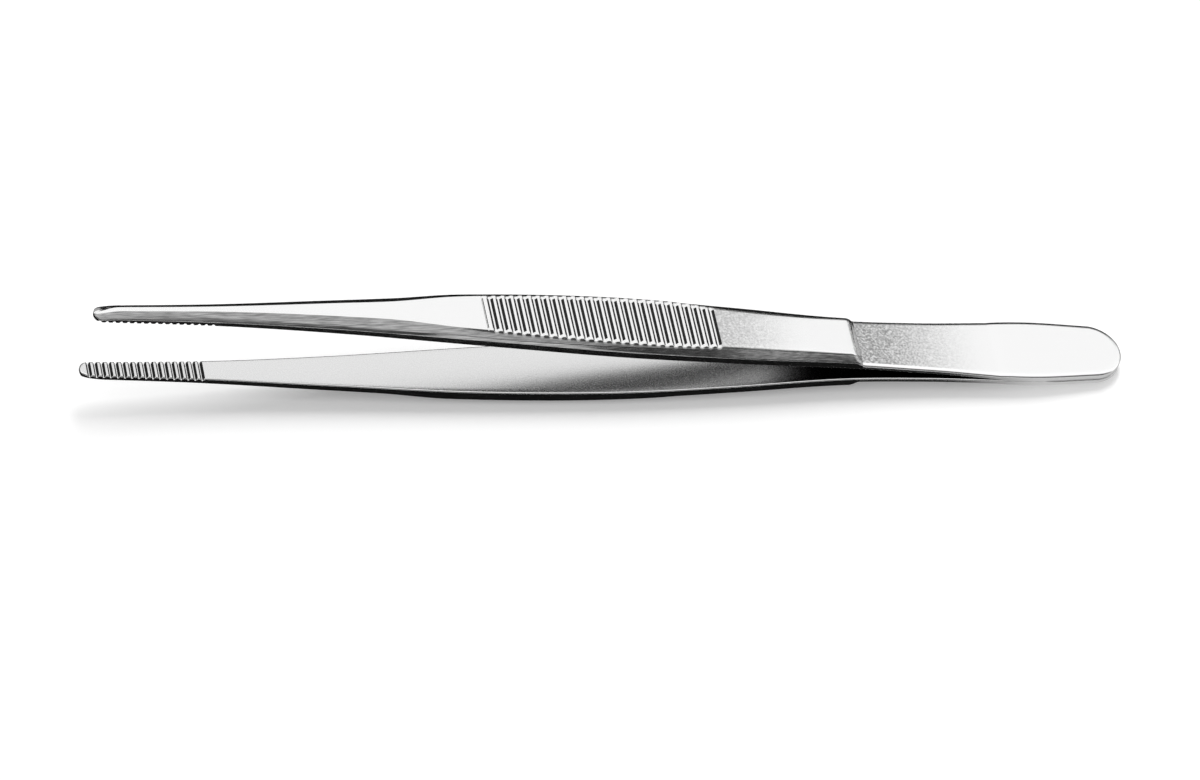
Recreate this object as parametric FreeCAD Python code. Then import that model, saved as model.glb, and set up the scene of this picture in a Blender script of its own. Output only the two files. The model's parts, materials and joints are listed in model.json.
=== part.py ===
import FreeCAD, Part
import math
import os

from FreeCAD import Vector

# Thumb forceps of the plain dressing pattern, lying as they come to rest.
# Two forged arms, mirror images of each other, are joined flat to flat at the heel.
# Each arm is a thin spring behind a ground shoulder and a thick bevelled bar in front
# of it. The bar is grooved outside for the thumb and inside at the blunt jaws.
# Lengths are millimetres. An arm is drawn with x from the tip to the heel, y across and
# z outwards from the plane where the two arms meet.

# Lengthwise, each from the tip
OVERALL_LENGTH = 145.0
JAW_END = 17.0
NECK = 34.0
SWELL_START = 41.0
SWELL_END = 49.5
GRIP_FRONT = 54.0
GRIP_MIDDLE = 75.0
GRIP_END = 90.0
SHOULDER = 106.6

# Heel
WELD_LENGTH = 17.0
HEEL_THICKNESS = 1.03
HEEL_STEP_RUN = 1.5
HEEL_WIDTH = 10.2
HEEL_WIDEST_FROM_END = 12.0
HEEL_RADIUS = 4.6
HEEL_TAPER_DEG = 9.0

# Spring
SPRING_THICKNESS = 0.9
SPRING_WIDTH = 8.85
SPRING_EDGE_RADIUS = 0.25
RAMP_RUN = 1.1
RAMP_FOOT_RADIUS = 0.5
INNER_EDGE_CHAMFER = 0.18

# Opening between the inner faces of the two arms
TIP_OPENING = 10.4
NECK_OPENING = 10.15
GRIP_FRONT_OPENING = 9.1
GRIP_MIDDLE_OPENING = 6.7
SHOULDER_OPENING = 1.95

# Width over the side walls
TIP_WIDTH = 2.5
JAW_WIDTH = 3.3
NECK_WIDTH = 5.35
GRIP_FRONT_WIDTH = 8.25
GRIP_WIDTH = 9.8
GRIP_END_WIDTH = 9.35
SHOULDER_WIDTH = 8.3

# Thickness from the inner face to the outer flat
TIP_THICKNESS = 1.4
JAW_THICKNESS = 1.75
GRIP_THICKNESS = 2.32
SHOULDER_THICKNESS = 2.0
NOSE_RADIUS = 0.9

# Height of the upright side wall above the inner face
JAW_SIDE_HEIGHT = 0.9
GRIP_SIDE_HEIGHT = 1.15
SHOULDER_SIDE_HEIGHT = 1.2

# Width of the outer flat between the bevels
TIP_FLAT = 0.7
JAW_FLAT = 0.95
NECK_FLAT = 2.45
SWELL_START_FLAT = 3.3
SWELL_END_FLAT = 5.5
GRIP_FRONT_FLAT = 6.2
GRIP_FLAT = 8.1
SHOULDER_FLAT = 6.75

# The upper facet of the bevel, which fades out behind the grip
FACET_SLOPE_DEG = 34.0
JAW_FACET = 0.75
NECK_FACET = 1.15
SWELL_START_FACET = 1.28
SWELL_END_FACET = 0.93
GRIP_FRONT_FACET = 0.9
FADED_FACET = 0.1
FACET_FADED = 84.0

# Grooves across the grip
GRIP_GROOVES = 26
GRIP_PITCH = 1.26
GRIP_GROOVE_WIDTH = 0.86
GRIP_GROOVE_FLOOR = 0.42
GRIP_GROOVE_DEPTH = 0.38
BORDER_LINE_GAP = 1.1
BORDER_LINE_WIDTH = 0.24
BORDER_LINE_FLOOR = 0.08
BORDER_LINE_DEPTH = 0.1

# Teeth across the jaws
JAW_GROOVES = 17
JAW_PITCH = 0.96
JAW_FIRST_GROOVE = 0.8
JAW_GROOVE_WIDTH = 0.62
JAW_GROOVE_FLOOR = 0.18
JAW_GROOVE_DEPTH = 0.36

# Worked out
WELD_START = OVERALL_LENGTH - WELD_LENGTH
SPRING_MIDDLE = (SHOULDER + WELD_START) / 2
TIP_RADIUS = TIP_WIDTH / 2
HEEL_WIDEST = OVERALL_LENGTH - HEEL_WIDEST_FROM_END
FACET_SLOPE = math.tan(math.radians(FACET_SLOPE_DEG))

# How far blanks and cutters run past the metal, and how finely curves are sampled
REACH = 1.0
BLANK_DEPTH = 3 * REACH
SECTION_STEP = 5.0
REST_STEP = 0.5
HALF_BLANK = HEEL_WIDTH
NOSE_LIFT = 0.03

# Picking edges: the shortest one that runs along the arm, and how near is on the line
LENGTHWISE = 0.9
NEAR = 0.01

OPENING = [
    (0.0, TIP_OPENING),
    (NECK, NECK_OPENING),
    (GRIP_FRONT, GRIP_FRONT_OPENING),
    (GRIP_MIDDLE, GRIP_MIDDLE_OPENING),
    (SHOULDER, SHOULDER_OPENING),
    (WELD_START, 0.0),
]
WIDTH = [
    (TIP_RADIUS, TIP_WIDTH),
    (JAW_END, JAW_WIDTH),
    (NECK, NECK_WIDTH),
    (GRIP_FRONT, GRIP_FRONT_WIDTH),
    (GRIP_MIDDLE, GRIP_WIDTH),
    (GRIP_END, GRIP_END_WIDTH),
    (SHOULDER, SHOULDER_WIDTH),
    (SPRING_MIDDLE, SPRING_WIDTH),
    (HEEL_WIDEST, HEEL_WIDTH),
]
THICKNESS = [
    (0.0, TIP_THICKNESS),
    (JAW_END, JAW_THICKNESS),
    (GRIP_FRONT, GRIP_THICKNESS),
    (SHOULDER, SHOULDER_THICKNESS),
]
SIDE = [
    (JAW_END, JAW_SIDE_HEIGHT),
    (GRIP_FRONT, GRIP_SIDE_HEIGHT),
    (SHOULDER, SHOULDER_SIDE_HEIGHT),
]
FLAT = [
    (0.0, TIP_FLAT),
    (JAW_END, JAW_FLAT),
    (NECK, NECK_FLAT),
    (SWELL_START, SWELL_START_FLAT),
    (SWELL_END, SWELL_END_FLAT),
    (GRIP_FRONT, GRIP_FRONT_FLAT),
    (GRIP_MIDDLE, GRIP_FLAT),
    (SHOULDER, SHOULDER_FLAT),
]
FACET = [
    (JAW_END, JAW_FACET),
    (NECK, NECK_FACET),
    (SWELL_START, SWELL_START_FACET),
    (SWELL_END, SWELL_END_FACET),
    (GRIP_FRONT, GRIP_FRONT_FACET),
    (FACET_FADED, FADED_FACET),
    (SHOULDER, FADED_FACET),
]


def smooth(stations, x):
    """Value at x of a smooth curve through the stations, straight beyond its ends."""
    xs = [s[0] for s in stations]
    ys = [s[1] for s in stations]
    chords = [(ys[i + 1] - ys[i]) / (xs[i + 1] - xs[i]) for i in range(len(xs) - 1)]
    slopes = [chords[0]]
    for i in range(1, len(chords)):
        before = xs[i] - xs[i - 1]
        after = xs[i + 1] - xs[i]
        slopes.append((chords[i - 1] * after + chords[i] * before) / (before + after))
    slopes.append(chords[-1])
    if x <= xs[0]:
        return ys[0] + slopes[0] * (x - xs[0])
    if x >= xs[-1]:
        return ys[-1] + slopes[-1] * (x - xs[-1])
    i = max(k for k in range(len(chords)) if xs[k] <= x)
    step = xs[i + 1] - xs[i]
    t = (x - xs[i]) / step
    start = (1 + 2 * t) * (1 - t) ** 2 * ys[i] + t * (1 - t) ** 2 * step * slopes[i]
    end = t * t * (3 - 2 * t) * ys[i + 1] + t * t * (t - 1) * step * slopes[i + 1]
    return start + end


def slope(surface, x):
    """Slope of a height curve at x."""
    return (surface(x + REACH / 2) - surface(x - REACH / 2)) / REACH


def half_width(x):
    """Distance of the side walls from the middle of the bar."""
    return smooth(WIDTH, x) / 2


def inner_line(x):
    """Height of the curved inner face, which dives under the meeting plane at the weld."""
    return smooth(OPENING, x) / 2


def inner(x):
    """Height of the finished inner face above the meeting plane."""
    return max(inner_line(x), 0.0)


def outer(x):
    """Height of the outer flat of the thick bar."""
    return inner(x) + smooth(THICKNESS, x)


def spring_top(x):
    """Height of the outer face of the thin spring."""
    return inner(x) + SPRING_THICKNESS


def steps(start, end, size):
    """Evenly spaced places from start to end, about size apart."""
    count = max(2, round((end - start) / size))
    return [start + (end - start) * i / count for i in range(count + 1)]


def curve(points):
    """Smooth edge through points."""
    spline = Part.BSplineCurve()
    spline.interpolate(points)
    return spline.toShape()


def chain(points):
    """Straight edges from point to point."""
    return [Part.LineSegment(a, b).toShape() for a, b in zip(points, points[1:])]


def across(edges):
    """Prism over the full width of the blank, from edges that close in the plane y = 0."""
    face = Part.Face(Part.Wire(Part.__sortEdges__(edges)))
    face.translate(Vector(0, -HALF_BLANK, 0))
    return face.extrude(Vector(0, 2 * HALF_BLANK, 0))


def bar_section(x):
    """Outline of the thick bar at x: flat top, two bevel facets a side, open room below."""
    top = outer(x)
    flat = smooth(FLAT, x) / 2
    facet = flat + smooth(FACET, x)
    facet_z = top - (facet - flat) * FACET_SLOPE
    side = half_width(x)
    side_z = inner(x) + smooth(SIDE, x)
    past_side = 2 * side - facet
    past_side_z = 2 * side_z - facet_z
    floor = inner(x) - BLANK_DEPTH
    half = [(flat, top), (facet, facet_z), (past_side, past_side_z), (past_side, floor)]
    corners = half + [(-y, z) for y, z in reversed(half)]
    return Part.makePolygon([Vector(x, y, z) for y, z in corners + corners[:1]])


def bar():
    """The thick front part, with its outer corner rounded at the tip and the ramp behind."""
    places = steps(-REACH, SHOULDER + RAMP_RUN + REACH, SECTION_STEP)
    body = Part.makeLoft([bar_section(x) for x in places], True, False)
    return body.cut(nose_corner()).cut(behind_ramp())


def nose_corner():
    """What rounding the outer corner of the tip takes away."""
    top = outer(NOSE_RADIUS) + NOSE_LIFT
    start = Vector(0, 0, top - NOSE_RADIUS)
    middle_in = NOSE_RADIUS * (1 - math.cos(math.pi / 4))
    middle = Vector(middle_in, 0, top - middle_in)
    end = Vector(NOSE_RADIUS, 0, top)
    arc = Part.Arc(start, middle, end).toShape()
    rest = [end, Vector(NOSE_RADIUS, 0, top + REACH), Vector(-2 * REACH, 0, top + REACH),
            Vector(-2 * REACH, 0, start.z), start]
    return across([arc] + chain(rest))


def behind_ramp():
    """What the shoulder's ramp takes off the thick bar."""
    foot = SHOULDER + RAMP_RUN
    rise = outer(SHOULDER) - spring_top(foot)
    end = foot + 3 * REACH
    above = outer(SHOULDER) + rise
    below = spring_top(foot) - rise
    corners = [(SHOULDER - RAMP_RUN, above), (foot + RAMP_RUN, below), (end, below), (end, above)]
    points = [Vector(x, 0, z) for x, z in corners + corners[:1]]
    return across(chain(points))


def spring():
    """The thin plate from under the thick bar to the heel, a little thicker at the heel."""
    front = SHOULDER - 3 * REACH
    step_start = WELD_START - HEEL_STEP_RUN
    end = OVERALL_LENGTH + REACH
    top = [Vector(x, 0, spring_top(x)) for x in steps(front, step_start, SECTION_STEP / 2)]
    heel = [top[-1], Vector(WELD_START, 0, HEEL_THICKNESS), Vector(end, 0, HEEL_THICKNESS),
            Vector(end, 0, -BLANK_DEPTH), Vector(front, 0, -BLANK_DEPTH), top[0]]
    return across([curve(top)] + chain(heel))


def other_side(point):
    """The same point on the other side of the arm."""
    return Vector(point.x, -point.y, point.z)


def plan():
    """Prism over the arm's outline seen from above: round tip, waisted sides, round heel."""
    side = [Vector(x, width / 2, 0) for x, width in WIDTH]
    taper = math.radians(HEEL_TAPER_DEG)
    centre = OVERALL_LENGTH - HEEL_RADIUS
    side.append(Vector(centre + HEEL_RADIUS * math.sin(taper), HEEL_RADIUS * math.cos(taper), 0))
    spline = Part.BSplineCurve()
    spline.interpolate(Points=side,
                       InitialTangent=Vector(1, slope(half_width, TIP_RADIUS), 0),
                       FinalTangent=Vector(math.cos(taper), -math.sin(taper), 0))
    far = spline.toShape()
    near = far.mirror(Vector(0, 0, 0), Vector(0, 1, 0))
    tip = Part.Arc(side[0], Vector(0, 0, 0), other_side(side[0])).toShape()
    heel = Part.Arc(side[-1], Vector(OVERALL_LENGTH, 0, 0), other_side(side[-1])).toShape()
    face = Part.Face(Part.Wire(Part.__sortEdges__([far, heel, near, tip])))
    face.translate(Vector(0, 0, -BLANK_DEPTH))
    return face.extrude(Vector(0, 0, TIP_OPENING + GRIP_THICKNESS + BLANK_DEPTH))


def between_arms():
    """Everything inside the inner face, one smooth curve from the tip to past the heel."""
    front = -2 * REACH
    end = OVERALL_LENGTH + 2 * REACH
    face = [Vector(x, 0, inner_line(x)) for x in steps(front, end, SECTION_STEP)]
    rest = [face[-1], Vector(end, 0, -2 * BLANK_DEPTH), Vector(front, 0, -2 * BLANK_DEPTH), face[0]]
    return across([curve(face)] + chain(rest))


def other_half():
    """Everything under the meeting plane, which leaves the flat that is welded."""
    size = OVERALL_LENGTH + 2 * REACH
    corner = Vector(-REACH, -HALF_BLANK, -2 * BLANK_DEPTH)
    return Part.makeBox(size, 2 * HALF_BLANK, 2 * BLANK_DEPTH, corner)


def groove(x, surface, wide, floor, depth, outward):
    """Prism of one groove across the arm at x, square to the surface that it is cut into."""
    rise = slope(surface, x)
    along = Vector(1, 0, rise).normalize()
    out = Vector(-rise, 0, 1).normalize() * outward
    at = Vector(x, 0, surface(x))
    flare = (wide - floor) / 2
    mouth = wide / 2 + flare
    corners = [at + along * mouth + out * depth, at - along * mouth + out * depth,
               at - along * (floor / 2) - out * depth, at + along * (floor / 2) - out * depth]
    return across(chain(corners + corners[:1]))


def grip_grooves():
    """The row of grooves that the thumb holds, behind one fine border line."""
    cuts = [groove(GRIP_FRONT + GRIP_PITCH / 2 + i * GRIP_PITCH, outer, GRIP_GROOVE_WIDTH,
                   GRIP_GROOVE_FLOOR, GRIP_GROOVE_DEPTH, 1) for i in range(GRIP_GROOVES)]
    border = GRIP_FRONT + GRIP_PITCH / 2 - BORDER_LINE_GAP
    cuts.append(groove(border, outer, BORDER_LINE_WIDTH, BORDER_LINE_FLOOR, BORDER_LINE_DEPTH, 1))
    return Part.makeCompound(cuts)


def jaw_grooves(shift):
    """The row of grooves across the inner face of a jaw, moved back by shift."""
    first = JAW_FIRST_GROOVE + shift
    cuts = [groove(first + i * JAW_PITCH, inner, JAW_GROOVE_WIDTH, JAW_GROOVE_FLOOR,
                   JAW_GROOVE_DEPTH, -1) for i in range(JAW_GROOVES)]
    return Part.makeCompound(cuts)


def middle(edge):
    """Point half-way along an edge."""
    return edge.valueAt((edge.FirstParameter + edge.LastParameter) / 2)


def ramp_foot(shape):
    """Edge where the shoulder's ramp meets the spring."""
    foot = SHOULDER + RAMP_RUN
    found = []
    for edge in shape.Edges:
        at = middle(edge)
        if abs(at.x - foot) < NEAR and abs(at.y) < NEAR and at.z > inner(foot) + SPRING_THICKNESS / 2:
            found.append(edge)
    return found


def outline_edges(shape, start, end, surface, height):
    """Edges along the arm's outline from start to end that lie at height over a surface."""
    found = []
    for edge in shape.Edges:
        at = middle(edge)
        if edge.BoundBox.XLength > LENGTHWISE and start < at.x < end:
            if abs(at.z - surface(at.x) - height) < SPRING_THICKNESS / 4:
                found.append(edge)
    return found


def soften(shape):
    """Round the foot of the ramp and the spring's outer rim, and break the inner edge.

    The inner edge is one smooth loop, so the chamfer that starts at the heel runs all round.
    """
    shape = shape.makeFillet(RAMP_FOOT_RADIUS, ramp_foot(shape))
    end = OVERALL_LENGTH + REACH
    rim = outline_edges(shape, SHOULDER + RAMP_RUN, end, inner, SPRING_THICKNESS)
    shape = shape.makeFillet(SPRING_EDGE_RADIUS, rim)
    heel_edge = max(outline_edges(shape, -REACH, end, inner_line, 0.0), key=lambda e: middle(e).x)
    return shape.makeChamfer(INNER_EDGE_CHAMFER, [heel_edge])


def arm(tooth_shift):
    """One arm, above the meeting plane. The broken inner edge fades out at the weld."""
    blank = bar().fuse(spring()).removeSplitter().common(plan()).cut(between_arms())
    finished = soften(blank).cut(other_half())
    return finished.cut(grip_grooves()).cut(jaw_grooves(tooth_shift))


def underside(x):
    """Lowest height of the lower arm at x, before it is laid down."""
    return -outer(x)


def rest_slope():
    """Slope of the line from the heel's underside that just touches the bowed grip."""
    return max((-HEEL_THICKNESS - underside(x)) / (OVERALL_LENGTH - x)
               for x in steps(NECK, GRIP_END, REST_STEP))


def lay_down(shapes):
    """Pitch the forceps onto the grip and the heel, then centre them over the origin."""
    angle = math.degrees(math.atan(rest_slope()))
    for shape in shapes:
        shape.rotate(Vector(0, 0, 0), Vector(0, 1, 0), angle)
    boxes = [shape.optimalBoundingBox(False, False) for shape in shapes]
    centre = (min(box.XMin for box in boxes) + max(box.XMax for box in boxes)) / 2
    lowest = min(box.ZMin for box in boxes)
    for shape in shapes:
        shape.translate(Vector(-centre, 0, -lowest))
    return shapes


os.makedirs("parts", exist_ok=True)
upper_arm = arm(0.0)
lower_arm = arm(JAW_PITCH / 2).mirror(Vector(0, 0, 0), Vector(0, 0, 1))
upper_arm, lower_arm = lay_down([upper_arm, lower_arm])
for name, shape in (("upper_arm", upper_arm), ("lower_arm", lower_arm)):
    shape.exportStep(f"parts/{name}.step")
    print(name, "solids", len(shape.Solids), "valid", shape.isValid(), "faces", len(shape.Faces),
          "volume", round(shape.Volume, 1), "box", shape.optimalBoundingBox(False, False))
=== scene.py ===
# %% [markdown]
# # A plain thumb forceps in satin steel
# A thumb forceps is the straight, unlocked tweezers of an instrument tray. Two forged arms
# are welded flat to flat at the heel, and their thin springs hold the jaws open.
# This lesson takes the measured arms as a fixed frame, makes a finely rounded skin for each
# arm, cuts its grooves with Geometry Nodes, and finishes the steel with small shader groups.

# %% Load the measured model
import bpy
import bmesh
import json
import math
from mathutils import Matrix, Vector


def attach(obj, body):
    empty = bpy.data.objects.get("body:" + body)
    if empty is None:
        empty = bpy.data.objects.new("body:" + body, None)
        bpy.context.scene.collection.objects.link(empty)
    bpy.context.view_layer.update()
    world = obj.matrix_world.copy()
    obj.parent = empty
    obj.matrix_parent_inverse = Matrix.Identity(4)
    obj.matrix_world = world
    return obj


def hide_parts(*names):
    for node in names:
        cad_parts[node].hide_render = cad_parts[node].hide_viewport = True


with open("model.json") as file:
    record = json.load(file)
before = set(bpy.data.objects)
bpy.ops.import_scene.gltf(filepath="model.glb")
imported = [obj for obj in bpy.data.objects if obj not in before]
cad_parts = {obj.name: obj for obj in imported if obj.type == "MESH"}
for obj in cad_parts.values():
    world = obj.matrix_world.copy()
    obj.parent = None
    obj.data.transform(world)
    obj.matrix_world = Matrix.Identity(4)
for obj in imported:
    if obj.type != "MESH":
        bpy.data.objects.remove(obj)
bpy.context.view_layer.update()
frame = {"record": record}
scene = bpy.context.scene

# %% [markdown]
# ## How the forceps lies
# An arm is easiest to describe along its own length, from the tip to the heel, with heights
# counted from the plane where the two arms meet. The forceps itself lies a few degrees off
# level, on its heel and on the bow of the lower grip. The record states the flat of the heel
# as a mount, so its place and its direction give the turn and the shift between the two.

# %% From the arm's own millimetres to the frame
MM = 0.001
OVERALL_LENGTH = 145.0
WELD_LENGTH = 17.0
HEEL_THICKNESS = 1.03
HEEL_FLAT_FROM_END = 8.0

mounts = {mount["name"]: mount for mount in frame["record"]["mounts"]}
heel_flat = mounts["heel_upper_flat"]
TILT = math.atan2(heel_flat["axis"][0], heel_flat["axis"][2])
turn = Matrix.Rotation(TILT, 4, "Y") @ Matrix.Scale(MM, 4)
heel_point = Vector((OVERALL_LENGTH - HEEL_FLAT_FROM_END, 0, HEEL_THICKNESS))
lie_down = Matrix.Translation(Vector(heel_flat["pos_m"]) - turn @ heel_point) @ turn
turn_over = Matrix.Scale(-1, 4, Vector((0, 0, 1)))
print("tilt in degrees", round(math.degrees(TILT), 3))

# %% [markdown]
# ## The camera
# The photograph looks down on the forceps from its front left, from about a metre and a
# quarter away, through a very long lens. A long lens keeps the two ends of a thin object
# nearly the same size. The camera is placed by two angles and a distance from the middle of
# the arms, aimed a little below them, and then rolled so that the forceps lies across.

# %% Camera
FRAME_WIDTH = 1200
FRAME_HEIGHT = 780
SENSOR_WIDTH = 36.0
LENS = 278.0
AZIMUTH_DEG = -19.18
ELEVATION_DEG = 47.01
ROLL_DEG = 12.36
DISTANCE = 1.2524
AIM = Vector((-1.40, -3.92, 1.89)) * MM

middle = lie_down @ Vector((OVERALL_LENGTH / 2, 0, 0))
azimuth = math.radians(AZIMUTH_DEG)
elevation = math.radians(ELEVATION_DEG)
roll = math.radians(ROLL_DEG)
level = math.cos(elevation)
towards_camera = Vector((math.sin(azimuth) * level, -math.cos(azimuth) * level, math.sin(elevation)))
camera_place = middle + towards_camera * DISTANCE
back = (camera_place - AIM).normalized()
level_right = Vector((0, 0, 1)).cross(back).normalized()
level_up = back.cross(level_right)
right = level_right * math.cos(roll) + level_up * math.sin(roll)
up = level_up * math.cos(roll) - level_right * math.sin(roll)

camera_data = bpy.data.cameras.new("camera")
camera_data.sensor_width = SENSOR_WIDTH
camera_data.lens = LENS
camera = bpy.data.objects.new("camera", camera_data)
turned = Matrix((right, up, back)).transposed().to_4x4()
camera.matrix_world = Matrix.Translation(camera_place) @ turned
scene.collection.objects.link(camera)
scene.camera = camera


def pixel(point):
    """Where a point of the frame falls in the photograph's 1200 by 780 pixels."""
    seen = point - camera_place
    scale = LENS / SENSOR_WIDTH * FRAME_WIDTH / -seen.dot(back)
    return (round(FRAME_WIDTH / 2 + seen.dot(right) * scale, 1),
            round(FRAME_HEIGHT / 2 - seen.dot(up) * scale, 1))


print("heel end falls at", pixel(lie_down @ Vector((OVERALL_LENGTH, 0, 0))))

# %% [markdown]
# ## The rule of the arm's shape
# A forged arm has no flat sides of one size: its width, thickness, outer flat and bevel all
# change along its length. Each of them is a smooth curve through a few measured stations.
# From the grip to the shoulder the outer flat also stands on a low lip, which draws the fine
# dark line along its edge. Writing the rule once gives the same form at any fineness, and the
# fineness is what lets a small rounded edge catch the light.

# %% Sizes along the arm, in millimetres from the tip
JAW_END = 17.0
NECK = 34.0
SWELL_START = 41.0
SWELL_END = 49.5
GRIP_FRONT = 54.0
GRIP_MIDDLE = 75.0
GRIP_END = 90.0
SHOULDER = 106.6
FLAT_WIDEST = 80.0
FACET_FADED = 84.0
BEHIND_GRIP = 87.5
BEFORE_SHOULDER = 98.0
WELD_START = OVERALL_LENGTH - WELD_LENGTH
SPRING_MIDDLE = (SHOULDER + WELD_START) / 2
RAMP_AHEAD = 0.65
RAMP_START = SHOULDER - RAMP_AHEAD
RAMP_RUN = 1.1
RAMP_FOOT = RAMP_START + RAMP_RUN

TIP_RADIUS = 1.25
HEEL_RADIUS = 4.6
HEEL_TAPER = math.radians(9.0)
HEEL_WIDEST_FROM_END = 12.0
HEEL_WIDEST = OVERALL_LENGTH - HEEL_WIDEST_FROM_END
HEEL_CENTRE = OVERALL_LENGTH - HEEL_RADIUS
HEEL_ARC = HEEL_CENTRE + HEEL_RADIUS * math.sin(HEEL_TAPER)

SPRING_THICKNESS = 0.9
HEEL_STEP_RUN = 1.5
NOSE_RADIUS = 0.75
NOSE_LIFT = 0.03
NOSE_LENGTH = 4.2
NOSE_FALL = 0.48

OPENING = [(0, 10.4), (NECK, 10.15), (GRIP_FRONT, 9.1), (GRIP_MIDDLE, 6.7), (SHOULDER, 1.95),
           (WELD_START, 0)]
WIDTH = [(TIP_RADIUS, 2 * TIP_RADIUS), (JAW_END, 3.3), (NECK, 5.35), (GRIP_FRONT, 8.25),
         (GRIP_MIDDLE, 9.8), (GRIP_END, 9.35), (SHOULDER, 8.3), (SPRING_MIDDLE, 8.85),
         (HEEL_WIDEST, 10.2), (HEEL_ARC, 2 * HEEL_RADIUS * math.cos(HEEL_TAPER))]
THICKNESS = [(0, 1.4), (JAW_END, 1.75), (GRIP_FRONT, 2.32), (SHOULDER, 2.0)]
SIDE_HEIGHT = [(JAW_END, 0.9), (GRIP_FRONT, 1.15), (SHOULDER, 1.2)]
FLAT = [(0, 0.7), (JAW_END, 0.95), (NECK, 2.45), (SWELL_START, 3.3), (SWELL_END, 5.5),
        (GRIP_FRONT, 6.2), (GRIP_MIDDLE, 8.1), (FLAT_WIDEST, 8.05), (BEHIND_GRIP, 7.1),
        (BEFORE_SHOULDER, 6.45), (SHOULDER, 6.35)]
FACET = [(JAW_END, 0.75), (NECK, 1.15), (SWELL_START, 1.28), (SWELL_END, 0.93), (GRIP_FRONT, 0.9),
         (FACET_FADED, 0.24), (SHOULDER, 0.24)]
FACET_SLOPE = [(JAW_END, 0.675), (GRIP_FRONT, 0.675), (GRIP_MIDDLE, 0.72), (FACET_FADED, 0.65),
               (SHOULDER, 0.62)]
LIP = [(SWELL_END, 0.0), (GRIP_FRONT, 0.1), (GRIP_MIDDLE, 0.12), (SHOULDER, 0.1)]
LIP_RUN = 0.12


def smooth(stations, x):
    """Value at x of a smooth curve through the stations, straight beyond its ends."""
    xs = [station[0] for station in stations]
    ys = [station[1] for station in stations]
    chords = [(ys[i + 1] - ys[i]) / (xs[i + 1] - xs[i]) for i in range(len(xs) - 1)]
    slopes = [chords[0]]
    for i in range(1, len(chords)):
        before = xs[i] - xs[i - 1]
        after = xs[i + 1] - xs[i]
        slopes.append((chords[i - 1] * after + chords[i] * before) / (before + after))
    slopes.append(chords[-1])
    if x <= xs[0]:
        return ys[0] + slopes[0] * (x - xs[0])
    if x >= xs[-1]:
        return ys[-1] + slopes[-1] * (x - xs[-1])
    i = max(k for k in range(len(chords)) if xs[k] <= x)
    step = xs[i + 1] - xs[i]
    t = (x - xs[i]) / step
    start = (1 + 2 * t) * (1 - t) ** 2 * ys[i] + t * (1 - t) ** 2 * step * slopes[i]
    end = t * t * (3 - 2 * t) * ys[i + 1] + t * t * (t - 1) * step * slopes[i + 1]
    return start + end


def inner_line(x):
    """Height of the curved inner face, which dives under the meeting plane at the weld."""
    return smooth(OPENING, x) / 2


def inner_height(x):
    """Height of the finished inner face."""
    return max(inner_line(x), 0.0)


def outer_flat(x):
    """Height of the outer flat of the thick bar, which falls a little towards the nose."""
    left = max(1 - x / NOSE_LENGTH, 0)
    return inner_height(x) + smooth(THICKNESS, x) - NOSE_FALL * left * left


print("thickest at the grip", round(smooth(THICKNESS, GRIP_FRONT), 2), "mm")

# %% [markdown]
# ## Outline, ramp and nose
# Three more rules finish the form. Seen from above, the jaw ends in a half circle and the
# heel in a wide arc. Behind the shoulder the grinder took the bar down to a thin spring over
# a short ramp, and the heel plate is a hair thicker than the spring. In front, the end of the
# nose is rounded from the outer face down.

# %% Outline, spring and nose
def outline(x):
    """Half the width of the arm seen from above."""
    if x < TIP_RADIUS:
        return math.sqrt(max(TIP_RADIUS ** 2 - (TIP_RADIUS - x) ** 2, 0))
    if x > HEEL_ARC:
        return math.sqrt(max(HEEL_RADIUS ** 2 - (x - HEEL_CENTRE) ** 2, 0))
    return smooth(WIDTH, x) / 2


def spring_height(x):
    """Height of the outer face of the spring and of the heel plate behind it."""
    step_start = WELD_START - HEEL_STEP_RUN
    if x <= step_start:
        return inner_height(x) + SPRING_THICKNESS
    before = inner_height(step_start) + SPRING_THICKNESS
    share = min((x - step_start) / HEEL_STEP_RUN, 1)
    return before + (HEEL_THICKNESS - before) * share


def ramp_height(x):
    """Height of the ramp's plane, which is above the bar in front of the shoulder."""
    top = outer_flat(RAMP_START)
    drop = top - spring_height(RAMP_FOOT)
    return top - (x - RAMP_START) / RAMP_RUN * drop


def nose_height(x):
    """Height of the rounded outer corner of the tip, and no limit behind it."""
    if x >= NOSE_RADIUS:
        return math.inf
    top = outer_flat(NOSE_RADIUS) + NOSE_LIFT
    return top - NOSE_RADIUS + math.sqrt(max(NOSE_RADIUS ** 2 - (NOSE_RADIUS - x) ** 2, 0))


print("spring", round(spring_height(SPRING_MIDDLE) - inner_height(SPRING_MIDDLE), 2), "mm thick")

# %% [markdown]
# ## Rounded edges
# No edge of a real instrument is sharp: tumbling and polishing round each one, and that thin
# round is the bright line that makes steel look like steel. One blend softens the creases of
# the bevel and of the ramp, a second fills the foot of the ramp, and a third rule lets the rim
# drop by a quarter of an ellipse where the face meets the side wall.

# %% Blends
CREASE = 0.02
RAMP_BLEND = 0.7
FOOT_BLEND = 0.25
BAR_RIM = 0.08
SPRING_RIM = 0.8
SPRING_RIM_DROP = 0.4
INNER_RIM = 0.25


def blend_low(a, b, size):
    """The lower of two heights, with a soft crease."""
    overlap = max(size - abs(a - b), 0) / size
    return min(a, b) - overlap * overlap * size / 4


def blend_high(a, b, size):
    """The higher of two heights, with a soft fillet."""
    overlap = max(size - abs(a - b), 0) / size
    return max(a, b) + overlap * overlap * size / 4


def round_over(distance, reach, drop):
    """How far a rim, rounded over a reach by a drop, is down at that distance from the edge."""
    left = 1 - min(max(distance, 0), reach) / reach
    return drop - drop * math.sqrt(1 - left * left)


half_way = round_over(SPRING_RIM / 2, SPRING_RIM, SPRING_RIM_DROP)
print("half-way the spring's rim is down", round(half_way, 3), "mm")

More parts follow.
